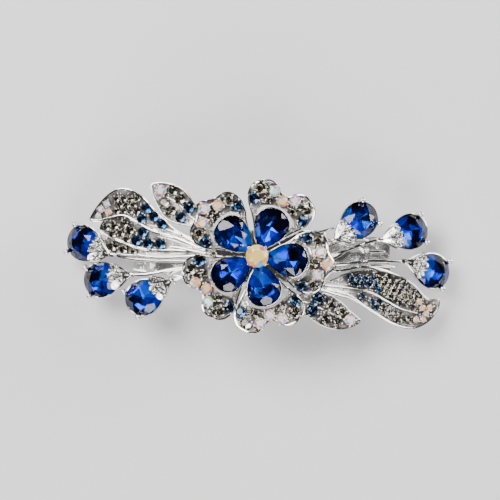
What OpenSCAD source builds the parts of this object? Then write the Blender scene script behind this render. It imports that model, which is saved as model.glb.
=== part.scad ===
// Rhinestone hair clip: an arched barrette base with a twisted-wire clasp arm, a squeeze
// catch, and a flower ornament of crystals, jewelled petals, leaves and buds on stems.
// X runs along the clip, Y across it and Z up, out of the face of the ornament.
// The clip stands on its hinge ears and its catch foot, at Z = 0.

/* [Arch] */
// Radius of the underside of the arched base plate
arch_r = 56; // [50:1:62]
// Thickness of the base plate
arch_t = 0.8; // [0.6:0.1:1]
// Width of the base plate
arch_w = 8; // [7.6:0.2:9]
// Height of the underside of the arch at its middle
arch_mid = 13.2; // [12.6:0.2:14]

/* [Clasp] */
// Diameter of the clasp wire
wire_d = 1; // [0.8:0.1:1]
// Full turns in the twisted stretch of the clasp arm
twist_turns = 7; // [5:1:9]
// Length of the twisted stretch
twist_len = 34; // [30:1:36]
// Radius of the hinge pin
pin_r = 0.8; // [0.7:0.05:0.8]

/* [Ornament] */
// Radius of the curve that the ornament droops along
dome_r = 85; // [80:1:120]
// Length of a flower crystal
drop_len = 11; // [10.6:0.1:11.4]
// Width of a flower crystal
drop_wid = 8.4; // [7.6:0.1:8.6]
// Radius of the centre stone
centre_r = 2.85; // [2.4:0.05:3]
// Length of a bud crystal
bud_len = 10.8; // [10:0.1:11]
// Width of a bud crystal
bud_wid = 8.7; // [8:0.1:9]
// Radius of the stones on the petals and small leaves
stone_r = 1.45; // [1.2:0.05:1.45]
// Radius of the pave stones on the large leaves
pave_r = 0.82; // [0.7:0.02:0.9]

/* [Hidden] */
$fn = 40;

silver = "silver";
steel = "lightsteelblue";
gap = 0.02;                 // solder gap between pieces that only touch
arch_cz = arch_mid - arch_r;
arch_half = 30;             // half the arch's angle
wire_r = wire_d / 2;

// Hinge end
ear_t = 0.8;
pin_x = -29.6;
pin_z = 3.2;
pin_clear = 0.05;

// Catch end
shelf_x = [27.2, 33.4];
shelf_z = arch_cz + arch_r * cos(arch_half);
foot_t = 0.6;
catch_t = 0.6;
rivet_x = [29.4, 31.95];
rivet_r = 0.6;
tab_root = [1.35, 4.7];     // distance from the middle, and height, of the line that a tab turns on
tab_t = 0.5;
tab_x = [28.1, 30.5];       // the tab's blade lies between the frame's two lugs
lug_t = 0.4;
lug_x = [tab_x[0] - 0.1 - lug_t, tab_x[1] + 0.1];
loop_x = 28.9;              // centre of the wire's end loop
loop_r = 2.9;
loop_z = 2.6;

// Clasp arm
eye_r = pin_r + 0.1 + wire_r;
twist_r = wire_r + 0.05;
twist_z = 1.65;

// Layers of the ornament, at the middle of the clip
plate_t = 0.8;
plate_half = 17;            // half the mounting plate's angle
plate_rivet_x = [-5, 5];
leaf_z = 15.9;
leaf_t = 0.9;
disc_z = 15.7;
disc_t = 0.8;
petal_z = disc_z + disc_t + 3 * gap;
petal_t = 0.9;
petal_tilt = 9;
petal_root = 2.6;
cup_z = 19;
cup_t = 0.5;
cup_wall = 0.22;
cup_h = 1.7;
cup_tilt = 7;
cup_root = 1.85;            // distance of a crystal's point from the flower's axis
centre_z = 21.7;
flower_at = [-0.3, 0.08];
petal_angles = [65, -7, -78, -147, 138];
petal_is_pointed = [false, true, false, false, true];

// ---------- helpers ----------

function rot2(p, a) = [p[0] * cos(a) - p[1] * sin(a), p[0] * sin(a) + p[1] * cos(a)];
function unit(v) = v / norm(v);
function mirrored(half) = concat(half,
  [for (i = [len(half) - 1:-1:0]) if (abs(half[i][1]) > 0.01) [half[i][0], -half[i][1]]]);

// A smooth closed curve through hand-chosen points
function catmull(a, b, c, d, t) =
  0.5 * (2 * b + (c - a) * t + (2 * a - 5 * b + 4 * c - d) * t * t + (3 * b - a - 3 * c + d) * t * t * t);
function smooth_loop(p, n = 4) = let (k = len(p))
  [for (i = [0:k - 1], j = [0:n - 1])
    catmull(p[(i + k - 1) % k], p[i], p[(i + 1) % k], p[(i + 2) % k], j / n)];
// A smooth open curve through hand-chosen points
function smooth_line(p, n = 5) = let (k = len(p))
  concat([for (i = [0:k - 2], j = [0:n - 1])
    catmull(p[max(i - 1, 0)], p[i], p[i + 1], p[min(i + 2, k - 1)], j / n)], [p[k - 1]]);

// A drop outline with its point at x = 0; blunt lowers towards an oval
function drop_outline(l, w, grow = 0, blunt = 0.85, n = 28) = let (
    peak = max([for (i = [1:99]) sin(i * 1.8) * pow(sin(i * 0.9), blunt)]))
  [for (i = [0:n - 1]) let (a = 360 * (i + 0.5) / n, s = sin(a / 2))
    [(l + 2 * grow) * s * s - grow, (w / 2 + grow) * sin(a) * pow(s, blunt) / peak]];

// True where q lies inside the outline
function inside(q, o) = let (k = len(o), hits = [for (i = [0:k - 1]) let (a = o[i], b = o[(i + 1) % k])
    if ((a[1] > q[1]) != (b[1] > q[1]) && q[0] < (b[0] - a[0]) * (q[1] - a[1]) / (b[1] - a[1]) + a[0]) 1])
  len(hits) % 2 == 1;
function to_edge(q, a, b) = let (t = ((q - a) * (b - a)) / ((b - a) * (b - a)))
  norm(q - a - max(0, min(1, t)) * (b - a));
function edge_room(q, o) = min([for (i = [0:len(o) - 1]) to_edge(q, o[i], o[(i + 1) % len(o)])]);
function line_room(q, p) = min([for (i = [0:len(p) - 2]) to_edge(q, p[i], p[i + 1])]);
// Places in rows that leave room for a stone of radius r inside the outline and beside the vein
function packed(o, vein, r, pitch, room) = let (
    xs = [for (p = o) p[0]], ys = [for (p = o) p[1]], row = pitch * 0.88)
  [for (j = [0:floor((max(ys) - min(ys)) / row)], i = [0:floor((max(xs) - min(xs)) / pitch)])
    let (q = [min(xs) + (i + (j % 2) / 2) * pitch, min(ys) + r + j * row])
      if (inside(q, o) && edge_room(q, o) > r + room && line_room(q, vein) > r + 0.3) q];

// A round wire along points, with a parallel-transported frame
function tangents(p) = [for (i = [0:len(p) - 1]) unit(p[min(i + 1, len(p) - 1)] - p[max(i - 1, 0)])];
module swept_wire(p, r, sides = 8) {
  t = tangents(p);
  start = unit(cross(t[0], [0.1, 0.2, 1]));
  frames = [for (i = 0, u = start; i < len(p);
      i = i + 1, u = i < len(p) ? unit(u - (u * t[i]) * t[i]) : u) u];
  pts = [for (i = [0:len(p) - 1], k = [0:sides - 1]) let (v = cross(t[i], frames[i]), a = 360 * k / sides)
    p[i] + r * (cos(a) * frames[i] + sin(a) * v)];
  last = (len(p) - 1) * sides;
  polyhedron(points = pts, faces = concat(
    [[for (k = [0:sides - 1]) sides - 1 - k]],
    [for (i = [0:len(p) - 2], k = [0:sides - 1]) let (m = (k + 1) % sides, a = i * sides)
      each [[a + k, a + m, a + sides + m], [a + k, a + sides + m, a + sides + k]]],
    [[for (k = [0:sides - 1]) last + k]]));
}

// The drooping face of the ornament
function droop(x) = dome_r - sqrt(dome_r * dome_r - x * x);
function lean(x) = asin(x / dome_r);
module on_dome(at, z, turn = 0) {
  translate([at[0], at[1], z - droop(at[0])]) rotate([0, lean(at[0]), 0]) rotate([0, 0, turn]) children();
}
// A plan point seen in the tilted plane of leaf k
function in_leaf(p, k) = [(p[0] - leaf_mid[k][0]) / cos(leaf_tilt[k]), p[1] - leaf_mid[k][1]];
module in_flower(turn, root, z, tilt) {
  translate([flower_at[0], flower_at[1], z]) rotate([0, 0, turn]) translate([root, 0, 0])
    rotate([0, -tilt, 0]) translate([-root, 0, 0]) children();
}
module band(r0, r1, w, half) {
  translate([0, 0, arch_cz]) rotate([90, 0, 0]) rotate([0, 0, 90 - half])
    rotate_extrude(angle = 2 * half, $fn = 180) translate([r0, -w / 2]) square([r1 - r0, w]);
}

// ---------- stones ----------

// A round cut stone that stands on its blunt point
module chaton(r) {
  rotate_extrude($fn = 24)
    polygon([[0, 0], [0.5 * r, 0], [r, 0.5 * r], [r, 0.6 * r], [0.6 * r, 0.95 * r], [0, 0.95 * r]]);
}
module flat_layer(points, z) {
  translate([0, 0, z]) linear_extrude(0.15) polygon(points);
}
function inset(points, k, c) = [for (p = points) [c + (p[0] - c) * k, p[1] * k]];
module crystal(l, w, blunt) {
  o = drop_outline(l, w, -0.12, blunt);
  hull() {
    flat_layer(inset(o, 0.5, 0.58 * l), 0);
    flat_layer(o, 1.35);
    flat_layer(inset(o, 0.55, 0.58 * l), 2.85);
  }
}

// ---------- barrette ----------

module ear(y) {
  translate([0, y + ear_t, 0]) rotate([90, 0, 0]) linear_extrude(ear_t)
    polygon([[-31.6, 0.6], [-31, 0], [-28, 0], [-27.4, 0.6],
      [-25.4, arch_cz + sqrt(pow(arch_r + 0.3, 2) - pow(25.4, 2))],
      [-27.9, arch_cz + sqrt(pow(arch_r + 0.3, 2) - pow(27.9, 2))], [-31.6, 5]]);
}

module base_plate() {
  color(steel) difference() {
    union() {
      band(arch_r, arch_r + arch_t, arch_w, arch_half);
      ear(-arch_w / 2);
      ear(arch_w / 2 - ear_t);
      translate([shelf_x[0], -arch_w / 2, shelf_z]) cube([shelf_x[1] - shelf_x[0], arch_w, arch_t]);
    }
    translate([pin_x, 0, pin_z]) rotate([90, 0, 0]) cylinder(r = pin_r + 0.02, h = arch_w + 2, center = true);
    for (x = rivet_x) translate([x, 0, shelf_z - 1]) cylinder(r = rivet_r + 0.02, h = 3);
    for (x = plate_rivet_x) translate([x, 0, arch_mid - 3]) cylinder(r = rivet_r + 0.02, h = 6);
  }
}

module hinge_pin() {
  color(steel) translate([pin_x, 0, pin_z]) rotate([90, 0, 0]) {
    cylinder(r = pin_r, h = arch_w + 0.4, center = true);
    for (s = [-1, 1]) translate([0, 0, s * (arch_w / 2 + 0.3)])
      cylinder(r = pin_r + 0.4, h = 0.4, center = true);
  }
}

// Half of the clasp wire, from its end loop to its eye on the hinge pin
function strand(s) = concat(
  [for (a = [75:-15:0]) [loop_x + loop_r * sin(a), s * loop_r * cos(a), loop_z]],
  smooth_line([[loop_x - 2, s * loop_r, loop_z], [loop_x - 5, s * loop_r, loop_z - 0.2],
    [loop_x - 8, s * 2, loop_z - 0.7], [twist_len / 2 + 0.6, s * (twist_r + 0.1), twist_z + 0.05]], 4),
  [for (i = [0:1:twist_turns * 10]) let (a = 36 * i)
    [twist_len * (0.5 - i / (twist_turns * 10)), s * twist_r * cos(a), twist_z + s * twist_r * sin(a)]],
  smooth_line([[-twist_len / 2 - 1, s * (twist_r + 0.1), twist_z],
    [-twist_len / 2 - 4, s * 1.3, twist_z + 0.05],
    [-twist_len / 2 - 8, s * 1.9, pin_z - eye_r - 0.05], [pin_x + 1.4, s * 1.9, pin_z - eye_r]], 4),
  [for (a = [-90:-20:-330]) [pin_x + eye_r * cos(a), s * 1.9, pin_z + eye_r * sin(a)]]);
module clasp_arm() {
  front = strand(-1);
  rear = strand(1);
  whole = concat([for (i = [len(front) - 1:-1:0]) front[i]], [[loop_x + loop_r, 0, loop_z]], rear);
  color(steel) swept_wire(whole, wire_r);
}

module catch_frame() {
  color(steel) difference() {
    union() {
      translate([shelf_x[0] + 0.4, -arch_w / 2, shelf_z - catch_t])
        cube([shelf_x[1] - shelf_x[0] - 0.4, arch_w, catch_t]);
      translate([shelf_x[1] - foot_t, -arch_w / 2, 0]) cube([foot_t, arch_w, shelf_z]);
      for (x = lug_x, s = [-1, 1]) translate([x, s * tab_root[0] - 0.55, tab_root[1] - 0.5])
        cube([lug_t, 1.1, 0.95]);
    }
    for (x = rivet_x) translate([x, 0, 4]) cylinder(r = rivet_r + 0.02, h = 4);
    for (s = [-1, 1]) translate([25, s * tab_root[0], tab_root[1]]) rotate([0, 90, 0])
      cylinder(r = tab_t / 2 + 0.03, h = 7);
  }
}

module rivet(r, low, high) {
  translate([0, 0, low]) cylinder(r = r, h = high - low);
  translate([0, 0, high]) cylinder(r = r + 0.5, h = 0.4);
  translate([0, 0, low - 0.3]) cylinder(r = r + 0.15, h = 0.3);
}
module catch_rivets() {
  color(steel) for (x = rivet_x) translate([x, 0, 0]) rivet(rivet_r, shelf_z - catch_t, shelf_z + arch_t);
}

// One squeeze tab, drawn on the +Y side: a sprung blade with a hook inside the wire loop and a pad outside it
module pinch_tab() {
  y = tab_root[0];
  z = tab_root[1];
  color(steel) {
    translate([lug_x[0], y, z]) rotate([0, 90, 0]) cylinder(r = tab_t / 2, h = lug_x[1] + lug_t - lug_x[0]);
    translate([tab_x[0], y - tab_t / 2, 1.3]) cube([tab_x[1] - tab_x[0], tab_t, z - 1.3]);
    translate([tab_x[0], y, 1.3]) cube([0.8, loop_r - wire_r - 0.05 - y, 0.5]);
    translate([tab_x[0], y, 3.85]) cube([tab_x[1] - tab_x[0], 3.3, 0.5]);
    translate([27.3, y + 3.05, 1]) cube([4, 0.5, 3.6]);
  }
}
module pinch_tab_rear() { pinch_tab(); }
module pinch_tab_front() { mirror([0, 1, 0]) pinch_tab(); }

module mounting_plate() {
  color(silver) difference() {
    band(arch_r + arch_t + gap, arch_r + arch_t + plate_t, 13, plate_half);
    for (x = plate_rivet_x) translate([x, 0, arch_mid - 3]) cylinder(r = rivet_r + 0.02, h = 8);
    for (x = [-12, 12], y = [-4.6, 4.6]) translate([x, y, arch_mid - 3]) cylinder(r = 1, h = 8);
  }
}
module mounting_rivets() {
  color(silver) for (x = plate_rivet_x) translate([x, 0, arch_mid]) {
    translate([0, 0, -0.6]) cylinder(r = rivet_r, h = 2.4);
    translate([0, 0, -0.7]) cylinder(r = rivet_r + 0.4, h = 0.35);
    translate([0, 0, 1.5]) cylinder(r = rivet_r + 0.4, h = 0.6);
  }
}

// ---------- flower ----------

post_z = arch_mid + arch_t + plate_t + gap;
module flower_post() {
  color(silver) translate([flower_at[0], flower_at[1], 0]) {
    translate([0, 0, post_z]) cylinder(r = 2.2, h = disc_z - post_z - gap);
    translate([0, 0, disc_z - 0.8]) cylinder(r = 1, h = centre_z - disc_z + 0.8 - gap);
  }
}
module flower_disc() {
  color(silver) translate([flower_at[0], flower_at[1], disc_z]) difference() {
    cylinder(r = 6.5, h = disc_t);
    translate([0, 0, -1]) cylinder(r = 1.02, h = 4);
  }
}
// Short posts that join the leaves' roots to the mounting plate and the petals: plan place, low and high end
post_list = [[-14.2, 0.9, 13.2, 13.9], [-14, 2.6, 17.36, 17.85], [15.6, -7, 17.52, 18.55],
  [-14, 9.2, 16.47, 18.6],
  [10.6, -12, 16.38, 18.25]];
module solder_posts() {
  color(silver) for (p = post_list) translate([p[0], p[1], p[2]]) cylinder(r = 0.6, h = p[3] - p[2]);
}

// Half outlines of the two kinds of jewelled petal, along and across the petal
notched_half = [[16.8, 0], [17.5, 1.5], [18.9, 3.4], [18.8, 5.7], [17, 8.2], [14.6, 8.9], [12, 8],
  [8.5, 5.2], [5, 2.9], [petal_root, 1]];
pointed_half = [[20.2, 0], [19.4, 1.5], [17.9, 3.6], [17.3, 6], [15.8, 7.5], [13, 7.9], [10.2, 6.8],
  [8, 4.9], [5, 2.9], [petal_root, 1]];
window_half = [[13.6, 0], [13.3, 1.9], [12.4, 3.7], [10.9, 4.7], [9.2, 4.2], [7.2, 2.7], [6.2, 0]];
// Stones of a half petal: along, across, radius, kind (0 aurora, 1 smoke, 2 navy)
notched_stones = [[15.3, 0, stone_r, 0], [16.9, 3.05, stone_r, 0], [16.2, 6.1, stone_r, 1],
  [13.2, 6.6, stone_r, 2],
  [14.2, 3.6, 0.95, 1]];
pointed_stones = [[18.1, 0, stone_r, 0], [16.1, 2.6, stone_r, 0], [15, 5.5, stone_r, 1],
  [12.1, 6.1, stone_r, 2],
  [14.8, 0, 0.95, 1]];
function petal_stones(pointed) = let (h = pointed ? pointed_stones : notched_stones)
  concat(h, [for (s = h) if (s[1] > 0.01) [s[0], -s[1], s[2], s[3]]]);

module petal(i) {
  half = petal_is_pointed[i] ? pointed_half : notched_half;
  color(silver) in_flower(petal_angles[i], petal_root, petal_z, petal_tilt)
    linear_extrude(petal_t) difference() {
      polygon(smooth_loop(mirrored(half), 5));
      polygon(smooth_loop(mirrored(window_half), 4));
    }
}
module petal_stone_set(kind) {
  for (i = [0:4]) in_flower(petal_angles[i], petal_root, petal_z, petal_tilt)
    for (s = petal_stones(petal_is_pointed[i])) if (s[3] == kind)
      translate([s[0], s[1], petal_t]) chaton(s[2]);
}

module crystal_cup(i) {
  color(silver) in_flower(petal_angles[i], cup_root, cup_z, cup_tilt) translate([cup_root, 0, 0])
    difference() {
      linear_extrude(cup_h) polygon(drop_outline(drop_len, drop_wid, cup_wall));
      translate([0, 0, cup_t]) linear_extrude(cup_h) polygon(drop_outline(drop_len, drop_wid));
    }
  color(silver) in_flower(petal_angles[i], 0, 18.1, 0) translate([5.5, 0, 0]) cylinder(r = 0.8, h = 1.4);
}
module flower_crystal(i) {
  color("royalblue") in_flower(petal_angles[i], cup_root, cup_z, cup_tilt) translate([cup_root, 0, cup_t])
    crystal(drop_len, drop_wid, 0.85);
}
module centre_cup() {
  color(silver) translate([flower_at[0], flower_at[1], centre_z]) {
    cylinder(r1 = 1.5, r2 = centre_r - 0.3, h = 0.8);
    for (a = [45:90:315]) rotate([0, 0, a]) translate([centre_r + 0.02, 0, 0.4]) {
      translate([-0.5, -0.35, 0]) cube([0.5, 0.7, 0.4]);
      translate([0, -0.35, 0]) cube([0.35, 0.7, 2.4]);
    }
  }
}
module centre_stone() {
  color("lavenderblush") translate([flower_at[0], flower_at[1], centre_z + 0.8]) chaton(centre_r);
}

// ---------- leaves ----------

leaf_upper = [[-42.2, 9.3], [-39.9, 13.2], [-36.5, 16.3], [-33, 17.1], [-28.8, 15.2], [-24.5, 10.6],
  [-19.5, 6.2], [-12.5, 2.8],
  [-13, 1.4], [-21, 4.6], [-26, 6], [-30, 8.2], [-33.5, 10], [-37, 9.4], [-40, 8.8]];
leaf_lower = [[-39, 8.6], [-39.6, 6.5], [-38, 4.9], [-34.5, 3.7], [-31, 2.2], [-26, 1.3], [-19, 1.2],
  [-12.5, 0.7],
  [-12.5, 1.9], [-20, 5.4], [-26, 8.2], [-31, 10.6], [-35.5, 11.2]];
leaf_under = [[-38.4, 2.8], [-37, 0.9], [-33.5, 0.2], [-27, 0], [-19, 0], [-12.5, 0], [-12.5, 1.8],
  [-20, 3], [-29, 4.4],
  [-35, 5.4], [-38, 4.8]];
leaf_small_left = [[-26.7, 18], [-22.5, 18.5], [-18.3, 16.8], [-15.8, 13.4], [-13.2, 9.6], [-13.8, 7.6],
  [-18.5, 7.7],
  [-22.8, 9.3], [-25.2, 12.9]];
leaf_large_right = [[45.5, -11], [45.2, -13.7], [42.6, -16.8], [38.5, -18.4], [33.5, -17.2],
  [28.5, -14.2], [23.5, -11.1],
  [18.5, -9.6], [14.5, -8], [15, -6.4], [18.5, -5.6], [22, -4.1], [28, -3.3], [33.5, -4.2], [38.5, -6.6],
  [41.6, -9.8], [43.2, -10.8]];
leaf_small_right = [[25.5, -16.4], [22.8, -13.6], [19.6, -10.4], [16.4, -8.9], [12.8, -8.6], [9.2, -10.2],
  [9.8, -13], [13.2, -15.9],
  [17, -17.9], [21.5, -18.3]];

// Middle of each leaf, its height above the leaf layer, its tilt and its outline
leaf_mid = [[-30, 9], [-28, 5.5], [-27, 2], [-20, 13], [31, -10.5], [18, -13.5]];
leaf_lift = [0.74, -0.36, -1.4, 0.4, 0.2, -0.3];
leaf_tilt = [-17.4, -17.4, -17.4, -13.6, 21.4, 12.2];
leaf_outlines = [leaf_upper, leaf_lower, leaf_under, leaf_small_left, leaf_large_right, leaf_small_right];
function leaf_points(k) = [for (p = smooth_loop(leaf_outlines[k], 5)) in_leaf(p, k)];
module leaf_place(k) {
  m = leaf_mid[k];
  translate([m[0], m[1], leaf_z + leaf_lift[k] - droop(m[0])]) rotate([0, leaf_tilt[k], 0]) children();
}
module leaf(k) {
  color(silver) leaf_place(k) linear_extrude(leaf_t) polygon(leaf_points(k));
}

// Larger stones set one by one: plan place, radius, kind
upper_stones = [[-27.7, 12, 1.35, 2], [-25.7, 10, 1.35, 2], [-23.6, 8.1, 1.35, 2], [-28.9, 9.35, 1.2, 2],
  [-39.9, 10.1, 0.85, 0], [-39.2, 11.85, 0.9, 0], [-37.7, 13.2, 0.9, 0], [-37.3, 11.2, 0.9, 0]];
lower_stones = [[-30.2, 3.9, 1.3, 2], [-27.3, 3.2, 1.35, 2], [-24.2, 3.1, 1.35, 2], [-28.6, 6, 1.3, 2],
  [-37.9, 7.3, 1, 1],
  [-36.3, 5.6, 1, 1], [-35.7, 7.8, 1, 1], [-34.1, 6, 1, 1], [-33.4, 8.2, 1, 1], [-31.8, 6.5, 1, 1],
  [-32.6, 4.3, 1, 1]];
under_stones = [[-36.4, 2.6, 1.4, 1], [-33.6, 1.75, 1.1, 1], [-31, 1.15, 0.8, 1]];
small_left_stones = [[-24.1, 16.4, stone_r, 0], [-21, 16.5, 1.3, 1], [-23.3, 13.4, 1.35, 1],
  [-19.2, 14.4, 1.35, 1],
  [-21.6, 11.2, 1.35, 1], [-16.9, 12.2, 1.4, 2], [-19.1, 9.7, 1.35, 2]];
small_right_stones = [[22.6, -15.9, stone_r, 0], [20.5, -13.4, 1.35, 1], [19.2, -16.5, 1.3, 1],
  [17.8, -11.9, 1.3, 1],
  [16.2, -15.6, 1.35, 1], [14.9, -10.6, stone_r, 2], [13.2, -13.5, stone_r, 2]];
// Kind of a pave stone by its place along its leaf
function right_kind(x, y) = x - 0.2 * y > 42.6 ? 0 : x + 0.1 * y < 29.3 ? 2 : 1;
pave_pitch = 2 * pave_r + 0.1;
upper_pave = [-35.8, -29.9];  // stretch of the upper left leaf that is set with pave stones
no_vein = [[0, 0], [1, 0]];    // a line well away from the leaves
vein_right = [[15.5, -7.2], [23.5, -8.1], [28, -9], [32.2, -11.2], [36, -13.3], [40.4, -14.4]];
leaf_stone_lists = [
  concat(upper_stones, [for (q = packed(smooth_loop(leaf_upper, 3), no_vein, pave_r, pave_pitch, 0.4))
    if (q[0] > upper_pave[0] && q[0] < upper_pave[1]) [q[0], q[1], pave_r, 1]]),
  lower_stones,
  under_stones,
  small_left_stones,
  [for (q = packed(smooth_loop(leaf_large_right, 3), vein_right, pave_r, pave_pitch, 0.4)) if (q[0] > 20.4)
    [q[0], q[1], pave_r, right_kind(q[0], q[1])]],
  small_right_stones
];
module leaf_stone_set(kind) {
  for (k = [0:5]) leaf_place(k) for (s = leaf_stone_lists[k]) if (s[3] == kind)
    let (q = in_leaf([s[0], s[1]], k)) translate([q[0], q[1], leaf_t]) chaton(s[2]);
}

// ---------- buds ----------

// Base of each bud and the way that it points
bud_at = [[-38.2, 1.2], [-33.4, -4.9], [-23.2, -7.2], [20.2, 5.3], [32.2, 4.7], [38.25, -1.9]];
bud_turn = [160, 189, 210, 37, 14, -17];
bud_z = [18.1, 16.2, 15.6, 16.2, 16.6, 17.2];
module bud_place(k) {
  on_dome(bud_at[k], bud_z[k], bud_turn[k]) children();
}
module bud_crystal(k) {
  color("mediumblue") bud_place(k) translate([0.2, 0, cup_t]) crystal(bud_len, bud_wid, 0.35);
}
module bud_setting(k) {
  color(silver) bud_place(k) {
    translate([0.2, 0, 0]) difference() {
      linear_extrude(cup_h - 0.3) polygon(drop_outline(bud_len, bud_wid, cup_wall, 0.35));
      translate([0, 0, cup_t]) linear_extrude(cup_h) polygon(drop_outline(bud_len, bud_wid, 0, 0.35));
    }
    for (s = [-1, 1]) translate([9.7, s * 3.65, 0]) {
      cylinder(r = 0.5, h = cup_h + 0.6);
      translate([0, 0, cup_h + 0.8]) sphere(r = prong_r);
    }
    translate([-2.2, 0, 1.2]) rotate([0, 90, 0]) cylinder(r1 = 0.7, r2 = 1.2, h = 2.2);
    for (a = finger_turn) in_finger(a) {
      translate([0, -finger_w / 2, 0]) cube([finger_len - finger_w / 2, finger_w, finger_t]);
      translate([finger_len - finger_w / 2, 0, 0]) cylinder(r = finger_w / 2, h = finger_t);
    }
  }
}
// Three jewelled fingers rise over the root of each bud
finger_turn = [-40, 0, 40];
finger_len = 5.2;
finger_w = 1.7;
finger_t = 0.6;
prong_r = 0.8;              // ball at the end of each of a bud's two prongs
// Chips of a finger: place along and across, radius
chip_at = [[2.35, 0, 0.48], [3.25, 0.38, 0.42], [3.25, -0.48, 0.36], [4.3, 0, 0.55]];
module in_finger(a) {
  translate([-1.2, 0, 1.45]) rotate([0, 0, a]) rotate([0, -28, 0]) children();
}
module bud_clear_stones() {
  color("whitesmoke") for (k = [0:5]) bud_place(k) for (a = finger_turn, c = chip_at)
    in_finger(a) translate([c[0], c[1], finger_t]) chaton(c[2]);
}

// ---------- stems and wires ----------

stem_r = 0.5;
function on_face(p, z) = [p[0], p[1], z - droop(p[0])];
module stem(points, r) {
  swept_wire(smooth_line([for (p = points) on_face([p[0], p[1]], p[2])], 3), r, 8);
}
left_stems = [
  [[-8, -0.8, 15.15], [-16, -1.1, 15.4], [-25, -1.1, 15.9], [-32, -0.6, 17.6], [-36.05, 0.42, 19.2]],
  [[-8, -2.1, 15.15], [-15, -2.3, 15.5], [-22, -3.4, 16.6], [-28, -4.5, 17.2], [-31.3, -4.6, 17.4]],
  [[-7, -3.4, 15.15], [-12, -3.4, 15.3], [-17, -4.3, 16], [-21.3, -6.1, 16.7]]
];
right_stems = [
  [[8, 1.6, 15.15], [12, 1.9, 15.3], [16, 2.6, 16], [18.35, 3.85, 17.2]],
  [[8, 0.2, 15.15], [14, -0.4, 15.6], [20, 0.8, 17.2], [26, 3, 17.9], [30.1, 4.2, 17.8]],
  [[8, -1.2, 15.15], [14, -2, 15.5], [20, -2.1, 16.9], [27, -1.2, 17.9], [32.5, -1.2, 18.3],
  [36.15, -1.27, 18.5]]
];
left_spray = [
  [[-12.8, 0.8, 17.9], [-16, 1.3, 17.5], [-20, 2.2, 17.16], [-22.3, 2.4, 17.05]],
  [[-9, -4.6, 15.15], [-14, -5.2, 15.4], [-20, -5, 15.2], [-26, -3.6, 15.6]]
];
right_spray = [
  [[8, 2.9, 15.15], [15, 4.4, 15.4], [21, 3.2, 16], [27, 1.4, 16.4], [32, 1.2, 16.6]],
  [[8, -2.6, 15.15], [15, -3.4, 15.2], [22, -3, 16.2], [29, -2.2, 17.2], [34.5, -2.8, 17.4]],
  [[9, 4.4, 15.15], [15, 6, 15.2], [21, 7.4, 15], [26, 6.6, 14.4]]
];
module wires(set, r) { color(silver) for (p = set) stem(p, r); }

// ---------- parts ----------

base_plate();
hinge_pin();
clasp_arm();
catch_frame();
catch_rivets();
pinch_tab_front();
pinch_tab_rear();
mounting_plate();
mounting_rivets();
flower_post();
flower_disc();
solder_posts();
for (i = [0:4]) {
  petal(i);
  crystal_cup(i);
  flower_crystal(i);
}
centre_cup();
centre_stone();
color("pink") petal_stone_set(0);  // petal_aurora_stones
color("dimgray") petal_stone_set(1);  // petal_smoke_stones
color("midnightblue") petal_stone_set(2);  // petal_navy_stones
leaf(0);  // leaf_left_upper
leaf(1);  // leaf_left_lower
leaf(2);  // leaf_left_under
leaf(3);  // leaf_left_small
leaf(4);  // leaf_right_large
leaf(5);  // leaf_right_small
color("pink") leaf_stone_set(0);  // leaf_aurora_stones
color("dimgray") leaf_stone_set(1);  // leaf_smoke_stones
color("midnightblue") leaf_stone_set(2);  // leaf_navy_stones
for (k = [0:5]) {
  bud_setting(k);
  bud_crystal(k);
}
bud_clear_stones();
wires(left_stems, stem_r);  // bud_stems_left
wires(right_stems, stem_r);  // bud_stems_right
wires(left_spray, 0.4);  // wire_spray_left
wires(right_spray, 0.4);  // wire_spray_right
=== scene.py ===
import math
import random

import bpy
import numpy as np
from mathutils import Matrix, Vector


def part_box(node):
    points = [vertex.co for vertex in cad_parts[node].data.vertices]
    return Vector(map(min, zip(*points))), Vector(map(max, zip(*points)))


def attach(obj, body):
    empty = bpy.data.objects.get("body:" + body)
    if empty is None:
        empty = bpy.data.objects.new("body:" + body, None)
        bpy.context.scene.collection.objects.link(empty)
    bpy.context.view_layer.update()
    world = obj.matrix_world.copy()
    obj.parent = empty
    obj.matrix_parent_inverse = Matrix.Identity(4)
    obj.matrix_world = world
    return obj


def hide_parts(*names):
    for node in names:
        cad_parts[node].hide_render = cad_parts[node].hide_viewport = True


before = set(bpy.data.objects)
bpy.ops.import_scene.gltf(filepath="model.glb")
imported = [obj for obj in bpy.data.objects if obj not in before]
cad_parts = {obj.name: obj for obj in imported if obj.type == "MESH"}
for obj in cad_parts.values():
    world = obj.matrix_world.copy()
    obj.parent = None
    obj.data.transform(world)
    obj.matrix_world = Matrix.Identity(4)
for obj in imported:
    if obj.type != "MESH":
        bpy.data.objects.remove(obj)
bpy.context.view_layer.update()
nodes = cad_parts
mm = 0.001
print("frame loaded:", len(nodes), "nodes")


# ---- small modelling helpers ----

def deselectAll():
    if bpy.context.object and bpy.context.object.mode != "OBJECT":
        bpy.ops.object.mode_set(mode="OBJECT")
    for thing in bpy.context.selected_objects:
        thing.select_set(False)


def activate(thing):
    deselectAll()
    thing.select_set(True)
    bpy.context.view_layer.objects.active = thing


def editAll(thing, kind="VERT"):
    activate(thing)
    bpy.ops.object.mode_set(mode="EDIT")
    bpy.ops.mesh.select_mode(type=kind)
    bpy.ops.mesh.select_all(action="SELECT")


def objectMode():
    bpy.ops.object.mode_set(mode="OBJECT")


def copyOf(thing, name):
    twin = thing.copy()
    twin.data = thing.data.copy()
    twin.name = name
    twin.data.name = name
    twin.parent = None
    twin.matrix_world = Matrix()
    twin.hide_render = False
    bpy.context.scene.collection.objects.link(twin)
    return twin


def mergedCopy(node, name, flatten=True):
    twin = copyOf(nodes[node], name)
    twin.data.materials.clear()
    editAll(twin)
    bpy.ops.mesh.remove_doubles(threshold=2e-6)
    if flatten:
        bpy.ops.mesh.dissolve_limited(angle_limit=math.radians(0.4))
    objectMode()
    return twin


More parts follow.
